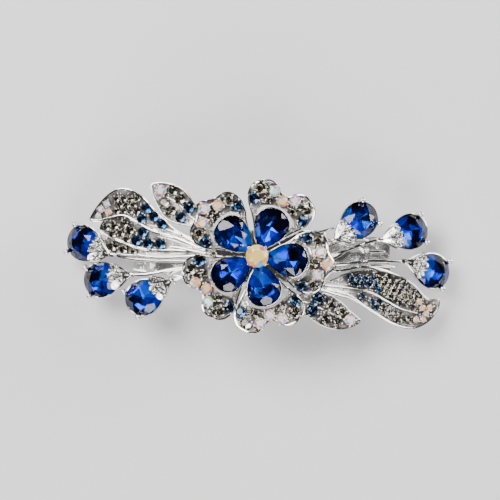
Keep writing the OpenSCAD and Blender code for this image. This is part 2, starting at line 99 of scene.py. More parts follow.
def finishWith(thing, kind, **settings):
    activate(thing)
    tool = thing.modifiers.new(kind.title(), kind)
    for key, value in settings.items():
        setattr(tool, key, value)
    bpy.ops.object.modifier_apply(modifier=tool.name)


def smoothBy(thing, degrees):
    activate(thing)
    bpy.ops.object.shade_smooth_by_angle(angle=math.radians(degrees))


def joined(things, name):
    activate(things[0])
    for thing in things:
        thing.select_set(True)
    bpy.ops.object.join()
    whole = bpy.context.object
    whole.name = name
    whole.data.name = name
    return whole


def finishPiece(thing, body, materials, replaced=()):
    thing.data.materials.clear()
    for material in materials:
        thing.data.materials.append(material)
    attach(thing, body)
    if replaced:
        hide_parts(*replaced)


# ---- shader helpers ----

class Value:
    # a socket that takes part in plain arithmetic
    def __init__(self, paint, socket):
        self.paint = paint
        self.socket = socket

    def math(self, operation, *others):
        node = self.paint.add("ShaderNodeMath", {"operation": operation}, {})
        for index, item in enumerate((self,) + others):
            self.paint.feed(node.inputs[index], item)
        return Value(self.paint, node.outputs[0])

    def __add__(self, other):
        return self.math("ADD", other)

    def __mul__(self, other):
        return self.math("MULTIPLY", other)

    def __sub__(self, other):
        return self.math("SUBTRACT", other)

    def __rsub__(self, other):
        return (self * -1.0) + other

    def __pow__(self, other):
        return self.math("POWER", other)

    __radd__ = __add__
    __rmul__ = __mul__

    def clamped(self):
        return self.math("MAXIMUM", 0.0).math("MINIMUM", 1.0)


class Paint:
    def __init__(self, name):
        self.material = bpy.data.materials.new(name)
        self.material.use_nodes = True
        self.tree = self.material.node_tree
        self.shader = self.tree.nodes["Principled BSDF"]

    def feed(self, socket, item):
        if isinstance(item, Value):
            self.tree.links.new(item.socket, socket)
        elif isinstance(item, bpy.types.NodeSocket):
            self.tree.links.new(item, socket)
        else:
            socket.default_value = item

    def add(self, kind, settings, inputs):
        node = self.tree.nodes.new(kind)
        for key, item in settings.items():
            if key == "stops":
                ramp = node.color_ramp
                while len(ramp.elements) < len(item):
                    ramp.elements.new(0.5)
                for element, (place, colour) in zip(ramp.elements, item):
                    element.position = place
                    element.color = colour
            elif key == "interpolation":
                node.color_ramp.interpolation = item
            else:
                setattr(node, key, item)
        for key, item in inputs.items():
            self.feed(node.inputs[key], item)
        return node

    def place(self):
        return self.add("ShaderNodeTexCoord", {}, {}).outputs["Object"]

    def stretched(self, scale):
        node = self.add("ShaderNodeMapping", {}, {"Vector": self.place(), "Scale": scale})
        return node.outputs[0]

    def noise(self, scale, detail=3.0, roughness=0.55, vector=None):
        node = self.add("ShaderNodeTexNoise", {}, {"Vector": vector or self.place(), "Scale": scale,
                                                   "Detail": detail, "Roughness": roughness})
        return Value(self, node.outputs[0])

    def cells(self, scale, feature="F1", randomness=1.0):
        node = self.add("ShaderNodeTexVoronoi", {"feature": feature},
                        {"Vector": self.place(), "Scale": scale, "Randomness": randomness})
        return Value(self, node.outputs["Distance"])

    def attribute(self, name):
        return self.add("ShaderNodeAttribute", {"attribute_name": name}, {}).outputs["Color"]

    def blend(self, factor, first, second, way="MIX"):
        node = self.add("ShaderNodeMix", {"data_type": "RGBA", "blend_type": way}, {})
        self.feed(node.inputs[0], factor)
        self.feed(node.inputs[6], first)
        self.feed(node.inputs[7], second)
        return node.outputs[2]

    def bump(self, height, strength, distance):
        node = self.add("ShaderNodeBump", {}, {"Height": height, "Strength": strength, "Distance": distance})
        self.feed(self.shader.inputs["Normal"], node.outputs[0])

    def set(self, **sockets):
        names = {"colour": "Base Color", "metallic": "Metallic", "roughness": "Roughness", "ior": "IOR",
                 "glass": "Transmission Weight", "glow": "Emission Color", "glowPower": "Emission Strength"}
        for key, item in sockets.items():
            self.feed(self.shader.inputs[names[key]], item)
        return self.material


silverLook = {"bright": (0.94, 0.925, 0.905, 1), "shade": (0.70, 0.67, 0.64, 1),
              "rough": 0.05, "roughSpread": 0.11}


def silverMaterial(name, grain, bumpStrength):
    # plated cast metal: cloudy polish, fine pits and faint ripples
    paint = Paint(name)
    cloud = paint.noise(160.0, 4.0)
    pits = paint.cells(1900.0)
    ripple = paint.noise(grain, 3.0, 0.6)
    colour = paint.blend((cloud * 1.6 - 0.35).clamped(), silverLook["bright"], silverLook["shade"])
    rough = (cloud - 0.35).clamped() * silverLook["roughSpread"] * 2.0 + silverLook["rough"]
    paint.bump(ripple * 0.8 + pits * 0.2, bumpStrength, 0.0002)
    return paint.set(colour=colour, metallic=1.0, roughness=rough)


def steelMaterial(name, stretch, strength):
    # nickel-plated spring sheet or wire with drawing marks
    paint = Paint(name)
    marks = paint.noise(60.0, 5.0, 0.7, paint.stretched(stretch))
    cloud = paint.noise(110.0, 3.0)
    colour = paint.blend((marks * 1.4 - 0.2).clamped(), (0.78, 0.77, 0.76, 1), (0.60, 0.595, 0.60, 1))
    paint.bump(marks, strength, 0.00008)
    return paint.set(colour=colour, metallic=1.0, roughness=(cloud * 0.16 + marks * 0.14 + 0.08))


def paveMaterial(name):
    # cast ground studded with tiny grains: painted shade darkens the ground between the stones, and bright
    # metal shows where the ground is clear of them
    paint = Paint(name)
    grains = paint.cells(1150.0, randomness=0.55)
    bead = (1.0 - grains * 2.1).clamped()
    cloud = paint.noise(260.0, 4.0)
    paintedShade = paint.blend((cloud * 2.2 - 0.6).clamped(), (0.02, 0.018, 0.016, 1), (0.13, 0.115, 0.10, 1))
    bright = paint.blend((cloud * 2.2 - 0.6).clamped(), (0.62, 0.59, 0.56, 1), (0.96, 0.94, 0.91, 1))
    # painted shade near the stones fades to bright metal further from them
    ground = paint.blend(paint.attribute("bareMetal"), paintedShade, bright)
    colour = paint.blend((bead * 1.9 - 0.5).clamped(), ground, (0.97, 0.96, 0.95, 1))
    paint.bump(bead ** 0.6, 1.0, 0.00035)
    return paint.set(colour=colour, metallic=1.0, roughness=(0.32 - bead * 0.25 + cloud * 0.08))


def crownMaterial(name, tint, spread):
    # the clear upper facets of a cut stone
    paint = Paint(name)
    cloud = paint.noise(420.0, 2.0)
    colour = paint.blend(cloud, tint, spread)
    return paint.set(colour=colour, metallic=0.0, roughness=(cloud * 0.02 + 0.004), glass=1.0, ior=1.56)


def irisMaterial(name, strength, clear):
    # clear crystal with a rainbow coating: every facet takes its own tone
    paint = Paint(name)
    cloud = paint.noise(650.0, 2.0)
    pale = paint.blend(cloud, (1.0, 0.99, 0.96, 1), (0.95, 0.98, 1.0, 1))
    colour = paint.blend(strength, pale, paint.attribute("facetTone"))
    paint.set(colour=colour, metallic=0.0, roughness=(cloud * 0.03 + 0.02), glass=clear, ior=1.6)
    # painted light: the facets glow faintly in their own tones
    return paint.set(glow=colour, glowPower=0.12)


def foilMaterial(name, low, high, gloss=0.09):
    # the mirrored back of a cut stone; each facet carries its own tone, in which light and dark facets are
    # painted glints and painted reflections
    paint = Paint(name)
    tone = paint.attribute("facetTone")
    cloud = paint.noise(500.0, 2.0)
    shade = paint.blend(cloud, low, high)
    colour = paint.blend(1.0, tone, shade, "MULTIPLY")
    toneNode = paint.add("ShaderNodeAttribute", {"attribute_name": "facetTone"}, {})
    haze = Value(paint, toneNode.outputs["Alpha"])
    return paint.set(colour=colour, metallic=1.0, roughness=(cloud * 0.05 + haze * 0.32 + gloss))


def floorMaterial(name):
    paint = Paint(name)
    cloud = paint.noise(14.0, 4.0)
    colour = paint.blend(cloud, (0.72, 0.72, 0.73, 1), (0.77, 0.77, 0.775, 1))
    paint.bump(paint.noise(900.0, 3.0), 0.05, 0.0002)
    return paint.set(colour=colour, roughness=(cloud * 0.1 + 0.5))


silver = silverMaterial("platedSilver", 420.0, 0.13)
silverWire = silverMaterial("platedWire", 700.0, 0.08)
paveGround = paveMaterial("paveGround")
springSteel = steelMaterial("nickelSheet", (0.25, 9.0, 9.0), 0.25)
wireSteel = steelMaterial("nickelWire", (1.0, 6.0, 6.0), 0.12)
sapphireCrown = crownMaterial("sapphireCrown", (0.06, 0.24, 1.0, 1), (0.03, 0.16, 0.96, 1))
navyCrown = crownMaterial("navyCrown", (0.035, 0.11, 0.26, 1), (0.015, 0.07, 0.20, 1))
smokeCrown = crownMaterial("smokeCrown", (0.42, 0.40, 0.31, 1), (0.27, 0.26, 0.21, 1))
auroraCrown = irisMaterial("auroraCrown", 0.97, 0.30)
clearCrown = crownMaterial("clearCrown", (1.0, 1.0, 1.0, 1), (0.96, 0.98, 1.0, 1))
sapphireFoil = foilMaterial("sapphireFoil", (0.85, 0.9, 1.0, 1), (1.0, 1.0, 1.0, 1))
plainFoil = foilMaterial("plainFoil", (0.9, 0.9, 0.9, 1), (1.0, 1.0, 1.0, 1))
print("materials made")


# ---- reading the frame ----

def meshOf(node):
    data = nodes[node].data
    points = np.empty(len(data.vertices) * 3)
    data.vertices.foreach_get("co", points)
    points = points.reshape(-1, 3)
    data.calc_loop_triangles()
    corners = np.empty(len(data.loop_triangles) * 3, dtype=np.int64)
    data.loop_triangles.foreach_get("vertices", corners)
    corners = corners.reshape(-1, 3)
    keys, index = np.unique(np.round(points / 1e-6).astype(np.int64), axis=0, return_inverse=True)
    return keys * 1e-6, index.reshape(-1)[corners]


def looseParts(points, faces):
    # groups of vertices that hang together, found by spreading the lowest label
    label = np.arange(len(points))
    while True:
        low = label[faces].min(axis=1)
        fresh = label.copy()
        for column in range(3):
            np.minimum.at(fresh, faces[:, column], low)
        fresh = fresh[fresh]
        if (fresh == label).all():
            break
        label = fresh
    return [np.nonzero(label == name)[0] for name in np.unique(label)]


def topPlane(points, faces):
    # normal of the widest flat face that looks upwards, and the height of that face along it
    a, b, c = (points[faces[:, k]] for k in range(3))
    cross = np.cross(b - a, c - a)
    area = np.linalg.norm(cross, axis=1)
    good = area > 1e-14
    normal = cross[good] / area[good][:, None]
    area = area[good]
    centre = (a + b + c)[good] / 3
    best = (0.0, None, 0.0)
    keys = np.round(normal, 2)
    for key in np.unique(keys[normal[:, 2] > 0.5], axis=0):
        same = (keys == key).all(axis=1)
        mean = (normal[same] * area[same][:, None]).sum(axis=0)
        mean /= np.linalg.norm(mean)
        height = centre[same] @ mean
        flat = height > height.max() - 2e-5
        size = area[same][flat].sum()
        if size > best[0]:
            best = (size, mean, float(height.max()))
    return best[1], best[2]


def stonePlaces(node):
    # foot, axis and radius of each round stone in a node
    points, faces = meshOf(node)
    places = []
    for group in looseParts(points, faces):
        inside = np.isin(faces[:, 0], group)
        normal, top = topPlane(points, faces[inside])
        own = points[group]
        height = own @ normal
        rim = own[height > top - 2e-5]
        middle = rim.mean(axis=0)
        offset = own - middle
        offset -= np.outer(offset @ normal, normal)
        radius = float(np.linalg.norm(offset, axis=1).max())
        foot = middle - normal * (top - height.min())
        places.append((Vector(foot), Vector(normal), radius))
    return places


def crystalPlace(node, tipNear):
    # frame of a drop-shaped stone: x from its point to its round end, z out of its table
    points, faces = meshOf(node)
    normal, top = topPlane(points, faces)
    height = points @ normal
    table = points[height > top - 2e-5]
    flat = points - np.outer(height - height.min(), normal)
    middle = (flat.max(axis=0) + flat.min(axis=0)) / 2
    spread = flat - flat.mean(axis=0)
    values, vectors = np.linalg.eigh(spread.T @ spread)
    along = vectors[:, 2]
    if (middle - np.array(tipNear)) @ along < 0:
        along = -along
    side = np.cross(normal, along)
    reach = flat @ along
    tip = flat.mean(axis=0)
    tip = tip + along * (reach.min() - tip @ along)
    width = float((flat @ side).max() - (flat @ side).min())
    turn = Matrix((along, side, normal)).transposed().to_4x4()
    turn.translation = Vector(tip)
    return turn, float(reach.max() - reach.min()), width, float(top - height.min())


# ---- sheets: how the leaves and petals swell and fold ----

flowerAxis = Vector(((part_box("flower_post")[0][0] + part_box("flower_post")[1][0]) / 2,
                     (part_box("flower_post")[0][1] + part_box("flower_post")[1][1]) / 2, 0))


def ramp(value, low, high):
    share = min(max((value - low) / (high - low), 0.0), 1.0)
    return share * share * (3 - 2 * share)


def petalAngle(node):
    low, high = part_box(node)
    points, faces = meshOf(node)
    middle = points.mean(axis=0)
    return math.atan2(middle[1] - flowerAxis.y, middle[0] - flowerAxis.x)


def petalSwell(node, pointed):
    middle = petalAngle(node)

    def lift(x, y):
        away = math.hypot(x - flowerAxis.x, y - flowerAxis.y) / mm
        turn = math.atan2(y - flowerAxis.y, x - flowerAxis.x) - middle
        turn = (turn + math.pi) % (2 * math.pi) - math.pi
        lobes = math.cos(turn * 10) * (1 if pointed else -1)
        edge = ramp(away, 8.5, 18)
        return mm * (0.55 * edge * lobes - 0.5 * ramp(abs(turn), 0.28, 0.62) * ramp(away, 9, 15))
    return lift


def leafSwell(x0, y0, angle, wave, phase, fold, cup):
    # a leaf folded along its vein, cupped across it and rippled along it
    cosA, sinA = math.cos(angle), math.sin(angle)

    def lift(x, y):
        along = ((x - x0 * mm) * cosA + (y - y0 * mm) * sinA) / mm
        across = (-(x - x0 * mm) * sinA + (y - y0 * mm) * cosA) / mm
        crease = fold * (math.sqrt(across * across + 0.4) - 2.2)
        ripple = wave * math.sin(along * 0.42 + phase) * (0.6 + 0.08 * across)
        return mm * (crease + ripple + cup * across * across)
    return lift


leftSwell = leafSwell(-38, 11.2, -0.28, 0.30, 0.8, 0.0, 0.0)
sheets = {
    "outer_petal_1": petalSwell("outer_petal_1", False),
    "outer_petal_2": petalSwell("outer_petal_2", True),
    "outer_petal_3": petalSwell("outer_petal_3", False),
    "outer_petal_4": petalSwell("outer_petal_4", False),
    "outer_petal_5": petalSwell("outer_petal_5", True),
    "leaf_left_upper": leftSwell,
    "leaf_left_lower": leftSwell,
    "leaf_left_under": leftSwell,
    "leaf_left_small": leafSwell(-20, 13, -0.86, 0.12, 0.4, 0.16, 0.0),
    "leaf_right_large": leafSwell(31, -10.3, -0.34, 0.32, 2.2, 0.15, 0.0),
    "leaf_right_small": leafSwell(18, -13.6, -0.42, 0.12, 1.0, 0.16, 0.0),
}
sheetPlanes = {}
for node in sheets:
    points, faces = meshOf(node)
    normal, top = topPlane(points, faces)
    sheetPlanes[node] = (Vector(normal), top, Vector(points.min(axis=0)), Vector(points.max(axis=0)))


def sheetUnder(foot):
    # the sheet whose upper face a stone stands on
    best, name = 1.0, None
    for node, (normal, top, low, high) in sheetPlanes.items():
        if low.x - mm < foot.x < high.x + mm and low.y - mm < foot.y < high.y + mm:
            gap = abs(foot.dot(normal) - top)
            if gap < best:
                best, name = gap, node
    return name if best < 0.15 * mm else None


def settled(foot, axis):
    # foot and axis of a stone once its sheet has swelled
    node = sheetUnder(foot)
    if node is None:
        return foot, axis
    lift = sheets[node]
    step = 0.3 * mm
    here = lift(foot.x, foot.y)
    slopeX = (lift(foot.x + step, foot.y) - here) / step
    slopeY = (lift(foot.x, foot.y + step) - here) / step
    return foot + Vector((0, 0, here)), (axis + Vector((-slopeX, -slopeY, 0))).normalized()


# the last two entries are the distances from the stones over which the painted shade on the ground fades out
sheetLook = {"rim": 0.46 * mm, "rimHeight": 0.42 * mm, "edge": 0.15 * mm, "cell": 1.3 * mm,
             "stoneShadeFrom": 1.3 * mm, "stoneShadeTo": 3.0 * mm}
sheetStoneNodes = [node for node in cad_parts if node.endswith("_stones") and not node.startswith("bud")]
stoneFeet = np.array([list(foot) for node in sheetStoneNodes for foot, axis, radius in stonePlaces(node)])


windowReach = {"from": 6.0 * mm, "to": 14.3 * mm, "half": 5.3 * mm}


def besideWindow(node, spot):
    # true for a place on the edge of the opening in a petal, which has no raised rim
    if not node.startswith("outer_petal"):
        return False
    turn = petalAngle(node)
    x, y = spot.x - flowerAxis.x, spot.y - flowerAxis.y
    along = x * math.cos(turn) + y * math.sin(turn)
    across = abs(y * math.cos(turn) - x * math.sin(turn))
    look = windowReach
    share = (along - look["from"]) / (look["to"] - look["from"])
    return 0 < share < 1 and across < look["half"] * math.sin(math.pi * share ** 1.3) ** 0.6


def makeSheet(node, name):
    look = sheetLook
    sheet = mergedCopy(node, name)
    normal, top, low, high = sheetPlanes[node]
    editAll(sheet, "FACE")
    bpy.ops.mesh.select_all(action="DESELECT")
    objectMode()
    for face in sheet.data.polygons:
        face.select = face.normal.dot(normal) > 0.98 and abs(face.center.dot(normal) - top) < 0.05 * mm
    activate(sheet)
    bpy.ops.object.mode_set(mode="EDIT")
    bpy.ops.mesh.inset(thickness=look["rim"], depth=0, use_boundary=True, use_even_offset=True)
    objectMode()
    ground = {face.index for face in sheet.data.polygons if face.select}
    for face in sheet.data.polygons:
        onTop = face.normal.dot(normal) > 0.98 and abs(face.center.dot(normal) - top) < 0.05 * mm
        face.select = onTop and not face.select and not besideWindow(node, face.center)
        if onTop and not face.select:
            ground.add(face.index)
    sheet.data.attributes.new("inner", "INT", "FACE")
    for face in sheet.data.polygons:
        sheet.data.attributes["inner"].data[face.index].value = 1 if face.index in ground else 0
    bpy.ops.object.mode_set(mode="EDIT")
    bpy.ops.mesh.extrude_region_shrink_fatten(TRANSFORM_OT_shrink_fatten={"value": look["rimHeight"]})
    objectMode()
    activate(sheet)
    finishWith(sheet, "BEVEL", width=look["edge"], segments=2, limit_method="ANGLE",
               angle_limit=math.radians(40))
    # a lattice of cuts lets the sheet bend
    editAll(sheet)
    for axis in (0, 1):
        place = low[axis] + look["cell"] / 2
        while place < high[axis]:
            bpy.ops.mesh.select_all(action="SELECT")
            spot = [0, 0, 0]
            way = [0, 0, 0]
            spot[axis] = place
            way[axis] = 1
            bpy.ops.mesh.bisect(plane_co=spot, plane_no=way, use_fill=False)
            place += look["cell"]
    objectMode()
    lift = sheets[node]
    # each point's share out of the painted shade that darkens the ground near the stones
    stoneShade = sheet.data.color_attributes.new("bareMetal", "FLOAT_COLOR", "POINT")
    for point in sheet.data.vertices:
        away = float(np.hypot(stoneFeet[:, 0] - point.co.x, stoneFeet[:, 1] - point.co.y).min())
        share = ramp(away, look["stoneShadeFrom"], look["stoneShadeTo"])
        stoneShade.data[point.index].color = (share, share, share, 1)
        point.co.z += lift(point.co.x, point.co.y)
    marks = [item.value for item in sheet.data.attributes["inner"].data]
    for face, mark in zip(sheet.data.polygons, marks):
        face.material_index = 1 if mark == 1 else 0
    smoothBy(sheet, 40)
    slots = [face.material_index for face in sheet.data.polygons]
    finishPiece(sheet, "clip", (silver, paveGround), (node,))
    for face, slot in zip(sheet.data.polygons, slots):
        face.material_index = slot
    return sheet


sheetNames = {
    "outer_petal_1": "upperPetal", "outer_petal_2": "rightPetal", "outer_petal_3": "lowerRightPetal",
    "outer_petal_4": "lowerLeftPetal", "outer_petal_5": "upperLeftPetal",
    "leaf_left_upper": "largeLeftLeafUpper", "leaf_left_lower": "largeLeftLeafLower",
    "leaf_left_under": "largeLeftLeafUnder", "leaf_left_small": "smallLeftLeaf",
    "leaf_right_large": "largeRightLeaf", "leaf_right_small": "smallRightLeaf",
}
for node, name in sheetNames.items():
    makeSheet(node, name)
print("petals and leaves made")


# ---- veins and loose wires ----

def smoothLine(points, steps):
    # a rounded line through given points
    line = []
    for k in range(len(points) - 1):
        a, b = points[max(k - 1, 0)], points[k]
        c, d = points[k + 1], points[min(k + 2, len(points) - 1)]
        for step in range(steps):
            t = step / steps
            line.append(0.5 * (2 * b + (c - a) * t + (2 * a - 5 * b + 4 * c - d) * t * t
                               + (3 * b - a - 3 * c + d) * t ** 3))
    return line + [points[-1]]


def sweptTube(name, line, radii, sides=8):
    # a tube that follows a line, with its own thickness at each end and in its middle
    deselectAll()
    count = len(line)
    bpy.ops.mesh.primitive_grid_add(x_subdivisions=sides, y_subdivisions=count - 1, size=1,
                                    location=(0, 0, 0))
    tube = bpy.context.object
    tube.name = name
    side = Vector((0.1, 0.2, 1))
    for row in range(count):
        along = (line[min(row + 1, count - 1)] - line[max(row - 1, 0)]).normalized()
        side = (side - along * side.dot(along)).normalized()
        other = along.cross(side)
        share = row / (count - 1)
        thick = radii[0] * (1 - share) + radii[1] * share
        thick *= 1 - 0.55 * max(0.0, 2 * abs(share - 0.5) - 0.9) / 0.1
        for column in range(sides + 1):
            turn = 2 * math.pi * column / sides
            spot = line[row] + (side * math.cos(turn) + other * math.sin(turn)) * thick
            tube.data.vertices[row * (sides + 1) + column].co = spot
    editAll(tube)
    bpy.ops.mesh.remove_doubles(threshold=1e-7)
    bpy.ops.mesh.fill_holes(sides=0)
    bpy.ops.mesh.select_all(action="SELECT")
    bpy.ops.mesh.normals_make_consistent(inside=False)
    objectMode()
    smoothBy(tube, 70)
    return tube


def onSheet(node, x, y, above):
    # the point on a swollen sheet's upper face over a plan place
    normal, top, low, high = sheetPlanes[node]
    height = (top - normal.x * x * mm - normal.y * y * mm) / normal.z
    return Vector((x * mm, y * mm, height + sheets[node](x * mm, y * mm) + above * mm))


# sheet, plan places from the root outwards, radius at the root and at the tip
veins = [
    ("leaf_right_large", [(15.4, -7.2), (19.5, -7.6), (23.5, -8.1), (28, -9), (32.2, -11.2), (36, -13.3),
                          (40.2, -14.4)], 0.42, 0.20),
    ("leaf_right_large", [(15.8, -8.2), (19.5, -8.9), (23.2, -9.9), (25.6, -11.6)], 0.34, 0.16),
    ("leaf_left_small", [(-14.2, 8.2), (-16.8, 9.9), (-18.6, 11.8), (-20.6, 13.6), (-22.9, 14.9)],
     0.36, 0.18),
    ("leaf_right_small", [(10.2, -10.6), (14.6, -12.4), (17.4, -13.8), (20.9, -15.6)], 0.36, 0.18),
    ("leaf_left_upper", [(-13.6, 2.3), (-19.6, 5.5), (-24.6, 7.2), (-28.4, 8.0)], 0.34, 0.16),
    ("leaf_left_lower", [(-13.6, 1.5), (-19, 3.2), (-22.4, 4.4), (-25.8, 5.0)], 0.32, 0.16),
    ("leaf_left_lower", [(-13.6, 1.2), (-18.5, 1.9), (-23.5, 1.75)], 0.30, 0.18),
]
veinPieces = []
for node, places, root, tip in veins:
    line = smoothLine([onSheet(node, x, y, 0.12) for x, y in places], 5)
    veinPieces.append(sweptTube("vein", line, (root * mm, tip * mm)))
leafVeins = joined(veinPieces, "leafVeins")
finishPiece(leafVeins, "clip", (silverWire,), ())

domeRadius = 85 * mm


def onFace(x, y, z):
    # a place over the drooping face of the ornament
    return Vector((x * mm, y * mm, z * mm - domeRadius + math.sqrt(domeRadius ** 2 - (x * mm) ** 2)))


# places in plan and height above the face, then the radius at the root and at the tip
curls = [
    ([(12, 0.9, 16.0), (16.5, -0.9, 16.4), (20.2, 0.2, 16.9), (23.0, 2.2, 17.3), (25.6, 1.9, 17.2),
      (26.6, 0.7, 17.0)], 0.50, 0.34),
    ([(13, 1.2, 15.7), (18, 2.6, 16.0), (22.5, 4.6, 16.3), (26.6, 4.3, 16.4), (29.4, 2.6, 16.3)], 0.46, 0.30),
    ([(14, -3.4, 16.1), (20, -3.6, 16.6), (26, -2.6, 17.2), (31, -3.4, 17.2), (34.6, -4.6, 16.8)],
     0.52, 0.34),
    ([(-12, -3.2, 15.9), (-16, -3.0, 16.2), (-19.6, -3.3, 16.4), (-22.2, -4.7, 16.3), (-21.4, -6.0, 16.1)],
     0.46, 0.30),
    ([(-12.6, 0.2, 17.6), (-17, 0.1, 17.5), (-22, -0.2, 17.4), (-27, -0.1, 17.5), (-31, 0.6, 17.7)],
     0.42, 0.26),
]
curlPieces = [sweptTube("curl", smoothLine([onFace(*place) for place in places], 6), (root * mm, tip * mm))
              for places, root, tip in curls]


# ---- cut stones ----

def dropShape(share, turn, length, width, blunt):
    # a point at that share of the way out from the middle of a drop, whose point is at x = 0
    peak = max(math.sin(k * 0.0314) * math.sin(k * 0.0157) ** blunt for k in range(1, 100))
    half = abs(math.sin(turn / 2))
    x = length * half * half
    y = width / 2 * math.sin(turn) * half ** blunt / peak
    middle = 0.56 * length
    return middle + (x - middle) * share, y * share


def cutStone(name, rings, outline):
    # rings of points, each half a facet further round, closed into one faceted solid
    deselectAll()
    count, share, height, shift = rings[0]
    bpy.ops.mesh.primitive_circle_add(vertices=count, radius=1, location=(0, 0, 0))
    stone = bpy.context.object
    stone.name = name
    bpy.ops.object.mode_set(mode="EDIT")
    for count, share, height, shift in rings[1:]:
        bpy.ops.mesh.primitive_circle_add(vertices=count, radius=1, location=(0, 0, 0))
    objectMode()
    start = 0
    for count, share, height, shift in rings:
        for k in range(count):
            turn = 2 * math.pi * (k + shift) / count
            x, y = outline(share, turn)
            stone.data.vertices[start + k].co = (x, y, height)
        start += count
    editAll(stone)
    bpy.ops.mesh.convex_hull()
    bpy.ops.mesh.select_all(action="SELECT")
    bpy.ops.mesh.dissolve_limited(angle_limit=math.radians(1.2))
    bpy.ops.mesh.normals_make_consistent(inside=False)
    objectMode()
    return stone


def toneFacets(stone, tones, seed, girdle):
    # crown facets are slot 0, pavilion facets slot 1 with a tone each, made a little brighter or darker at
    # random; the tones hold painted glints and painted reflections
    dice = random.Random(seed)
    data = stone.data
    layer = data.color_attributes.new("facetTone", "FLOAT_COLOR", "CORNER")
    for face in data.polygons:
        below = face.center.z < girdle
        face.material_index = 1 if below else 0
        tone = dice.choice(tones)
        glow = 0.75 + 0.5 * dice.random()
        for loop in face.loop_indices:
            layer.data[loop].color = (tone[0] * glow, tone[1] * glow, tone[2] * glow, 0)
    data.shade_flat()


def toneTable(stone, tone):
    # the flat table on top takes one calm tone
    layer = stone.data.color_attributes["facetTone"]
    for face in stone.data.polygons:
        if face.normal.z > 0.99:
            for loop in face.loop_indices:
                layer.data[loop].color = (*tone, 0)


roundCut = {"table": 0.56, "crown": 0.95, "girdle": 0.55, "thick": 0.08}


def roundMaster(name, radius, tones, seed):
    look = roundCut
    low = look["girdle"] * radius
    rings = [(8, 0.12, 0.02 * radius, 0.5), (8, 0.62, 0.30 * radius, 0.0), (16, 1.0, low, 0.0),
             (16, 1.0, low + look["thick"] * radius, 0.0), (8, 0.80, 0.84 * radius, 0.5),
             (8, look["table"], look["crown"] * radius + 0.03 * radius, 0.0)]
    stone = cutStone(name, rings, lambda share, turn: (math.cos(turn) * share * radius,
                                                       math.sin(turn) * share * radius))
    toneFacets(stone, tones, seed, low + 0.001 * radius)
    return stone


def placed(master, foot, axis, turn, scale=1.0):
    twin = copyOf(master, master.name + "Copy")
    move = Matrix.Translation(foot) @ Vector((0, 0, 1)).rotation_difference(axis).to_matrix().to_4x4()
    move = move @ Matrix.Rotation(turn, 4, "Z") @ Matrix.Diagonal((scale, scale, scale, 1))
    twin.data.transform(move)
    return twin


# tones for the facets of each stone's back: the aurora sets are the coating's own colours; in the smoke,
# navy, azure and clear sets the near-white and near-black facets are painted glints and painted dark
# reflections mixed with the stone's own colour
stoneTones = {
    "aurora": [[(0.80, 0.72, 0.34), (0.80, 0.06, 0.16), (0.86, 0.48, 0.02),
                (0.03, 0.30, 0.80), (0.86, 0.86, 0.80)],
               [(0.22, 0.05, 0.70), (0.04, 0.46, 0.62), (0.84, 0.70, 0.22),
                (0.86, 0.34, 0.03), (0.86, 0.86, 0.82)],
               [(0.84, 0.62, 0.10), (0.84, 0.14, 0.05), (0.84, 0.86, 0.86),
                (0.04, 0.44, 0.70), (0.84, 0.78, 0.46)],
               [(0.05, 0.50, 0.28), (0.84, 0.64, 0.06), (0.04, 0.20, 0.74),
                (0.84, 0.84, 0.80), (0.70, 0.10, 0.40)]],
    "smoke": [[(0.30, 0.27, 0.18), (0.05, 0.05, 0.04), (1.0, 0.95, 0.74), (0.02, 0.02, 0.015),
               (0.10, 0.10, 0.07)],
              [(0.06, 0.06, 0.05), (0.40, 0.34, 0.16), (0.01, 0.01, 0.01), (0.20, 0.20, 0.17),
               (0.03, 0.03, 0.02)],
              [(0.90, 0.86, 0.70), (0.22, 0.21, 0.16), (0.60, 0.56, 0.40), (1.0, 0.98, 0.86),
               (0.04, 0.04, 0.03)],
              [(1.0, 0.97, 0.88), (0.74, 0.72, 0.64), (0.98, 0.93, 0.80), (0.24, 0.24, 0.21)],
              [(0.02, 0.02, 0.02), (0.07, 0.07, 0.06), (0.01, 0.01, 0.01), (0.16, 0.15, 0.12)]],
    "navy": [[(0.02, 0.05, 0.12), (0.005, 0.01, 0.03), (0.10, 0.20, 0.34), (0.005, 0.008, 0.02)],
             [(0.01, 0.03, 0.08), (0.05, 0.12, 0.24), (0.005, 0.01, 0.02), (0.16, 0.24, 0.34)]],
    "azure": [[(0.04, 0.22, 0.50), (0.01, 0.05, 0.16), (0.20, 0.55, 0.95), (0.01, 0.02, 0.08)],
              [(0.03, 0.14, 0.36), (0.10, 0.42, 0.80), (0.01, 0.04, 0.12), (0.30, 0.50, 0.70)]],
    "clear": [[(0.95, 0.95, 0.97), (0.60, 0.60, 0.62), (1.0, 1.0, 1.0), (0.35, 0.34, 0.33)]],
}
azureFrom = 20 * mm  # navy stones beyond this place along X are the brighter ones of the large right leaf
crowns = {"aurora": auroraCrown, "smoke": smokeCrown, "navy": navyCrown, "clear": clearCrown}

masters = {kind: [roundMaster(f"{kind}Master{k}", 1 * mm, tones, 11 * k + len(kind))
                  for k, tones in enumerate(sets)]
           for kind, sets in stoneTones.items()}

auroraTables = [(0.80, 0.68, 0.26), (0.80, 0.80, 0.76), (0.78, 0.44, 0.36), (0.50, 0.72, 0.82)]
for master, tone in zip(masters["aurora"], auroraTables):
    toneTable(master, tone)

grainLook = {"size": 0.20, "reach": 1.13, "height": 0.62}


def grainMaster(name):
    # a low bead of metal raised against a stone's edge
    deselectAll()
    bpy.ops.mesh.primitive_uv_sphere_add(segments=8, ring_count=5, radius=1 * mm, location=(0, 0, 0))
    bead = bpy.context.object
    bead.name = name
    smoothBy(bead, 80)
    return bead


